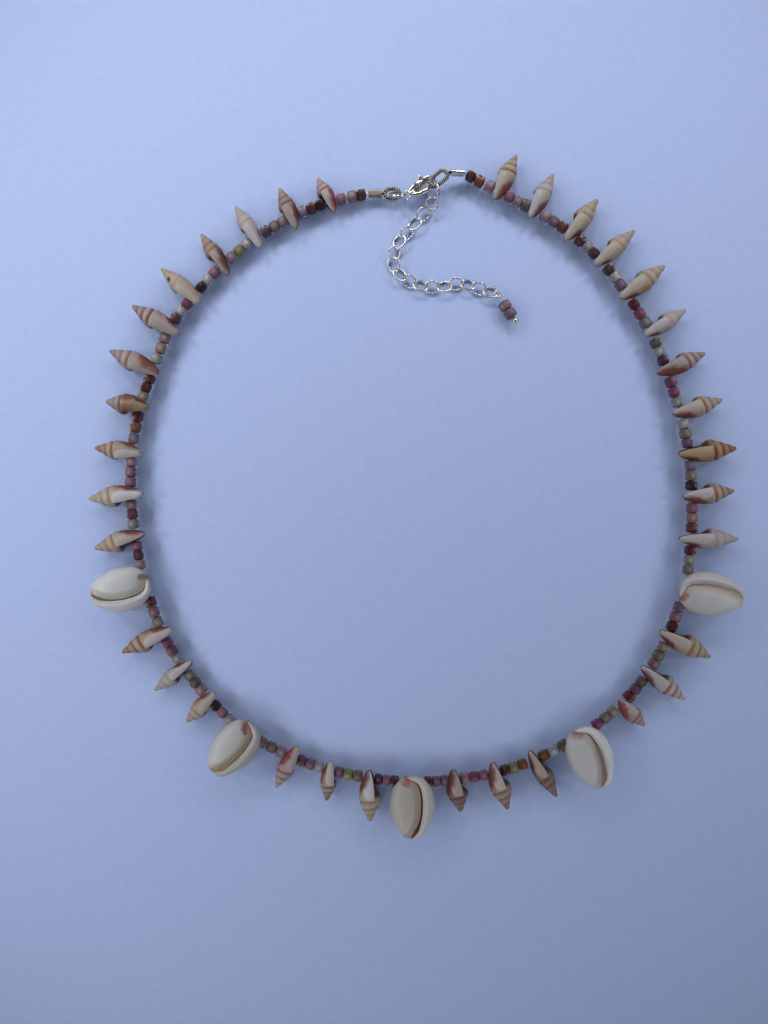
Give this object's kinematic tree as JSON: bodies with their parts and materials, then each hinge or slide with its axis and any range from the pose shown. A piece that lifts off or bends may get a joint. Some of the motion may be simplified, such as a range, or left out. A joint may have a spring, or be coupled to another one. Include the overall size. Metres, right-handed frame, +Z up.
{
  "type": "shell necklace",
  "caption": "Necklace of small spindle shells and cowries with rounded-cube stone beads between them, on a wire with a lobster clasp and short extender chain.",
  "frame": {"origin": "middle of the necklace's box, on the surface that it lies on", "axes": "+Z up from the surface, +Y towards the clasp, +X to the right seen from above with the clasp at the top"},
  "size_m": [0.15, 0.1568, 0.0073],
  "materials": {
    "spindle_shell": "dull natural shell, cream with brown bands",
    "cowrie_shell": "glossy natural off-white",
    "stone_beads": "polished, mixed pinks, browns and greens",
    "plated_metal": "polished silver-coloured plating"
  },
  "bodies": {
    "necklace": {"spindle_shell_01": "spindle_shell", "spindle_shell_02": "spindle_shell", "spindle_shell_03": "spindle_shell", "spindle_shell_04": "spindle_shell", "spindle_shell_05": "spindle_shell", "spindle_shell_06": "spindle_shell", "spindle_shell_07": "spindle_shell", "spindle_shell_08": "spindle_shell", "spindle_shell_09": "spindle_shell", "spindle_shell_10": "spindle_shell", "spindle_shell_11": "spindle_shell", "spindle_shell_12": "spindle_shell", "spindle_shell_13": "spindle_shell", "spindle_shell_14": "spindle_shell", "spindle_shell_15": "spindle_shell", "spindle_shell_16": "spindle_shell", "spindle_shell_17": "spindle_shell", "spindle_shell_18": "spindle_shell", "spindle_shell_19": "spindle_shell", "spindle_shell_20": "spindle_shell", "spindle_shell_21": "spindle_shell", "spindle_shell_22": "spindle_shell", "spindle_shell_23": "spindle_shell", "spindle_shell_24": "spindle_shell", "spindle_shell_25": "spindle_shell", "spindle_shell_26": "spindle_shell", "spindle_shell_27": "spindle_shell", "spindle_shell_28": "spindle_shell", "spindle_shell_29": "spindle_shell", "spindle_shell_30": "spindle_shell", "spindle_shell_31": "spindle_shell", "spindle_shell_32": "spindle_shell", "spindle_shell_33": "spindle_shell", "spindle_shell_34": "spindle_shell", "cowrie_1": "cowrie_shell", "cowrie_2": "cowrie_shell", "cowrie_3": "cowrie_shell", "cowrie_4": "cowrie_shell", "cowrie_5": "cowrie_shell", "bead_strand_1": "stone_beads", "bead_strand_2": "stone_beads", "bead_strand_3": "stone_beads", "bead_strand_4": "stone_beads", "bead_strand_5": "stone_beads", "bead_strand_6": "stone_beads", "crimp_left": "plated_metal", "crimp_right": "plated_metal", "coil_loop_left": "plated_metal", "coil_loop_right": "plated_metal", "tail_ring": "plated_metal", "clasp_body": "plated_metal", "jump_ring": "plated_metal", "chain_ring": "plated_metal", "extender_chain": "plated_metal", "head_pin": "plated_metal", "end_bead_1": "stone_beads", "end_bead_2": "stone_beads"},
    "lever": {"clasp_lever": "plated_metal"}
  },
  "joints": [
    {"name": "clasp_lever_hinge", "type": "hinge", "parent": "necklace", "child": "lever", "pos_m": [0.00013, 0.07133, 0.0021], "axis": [0, 0, -1], "range_deg": [0, 15], "stiffness_Nm_per_rad": 0.003, "springref_deg": -11.46}
  ]
}
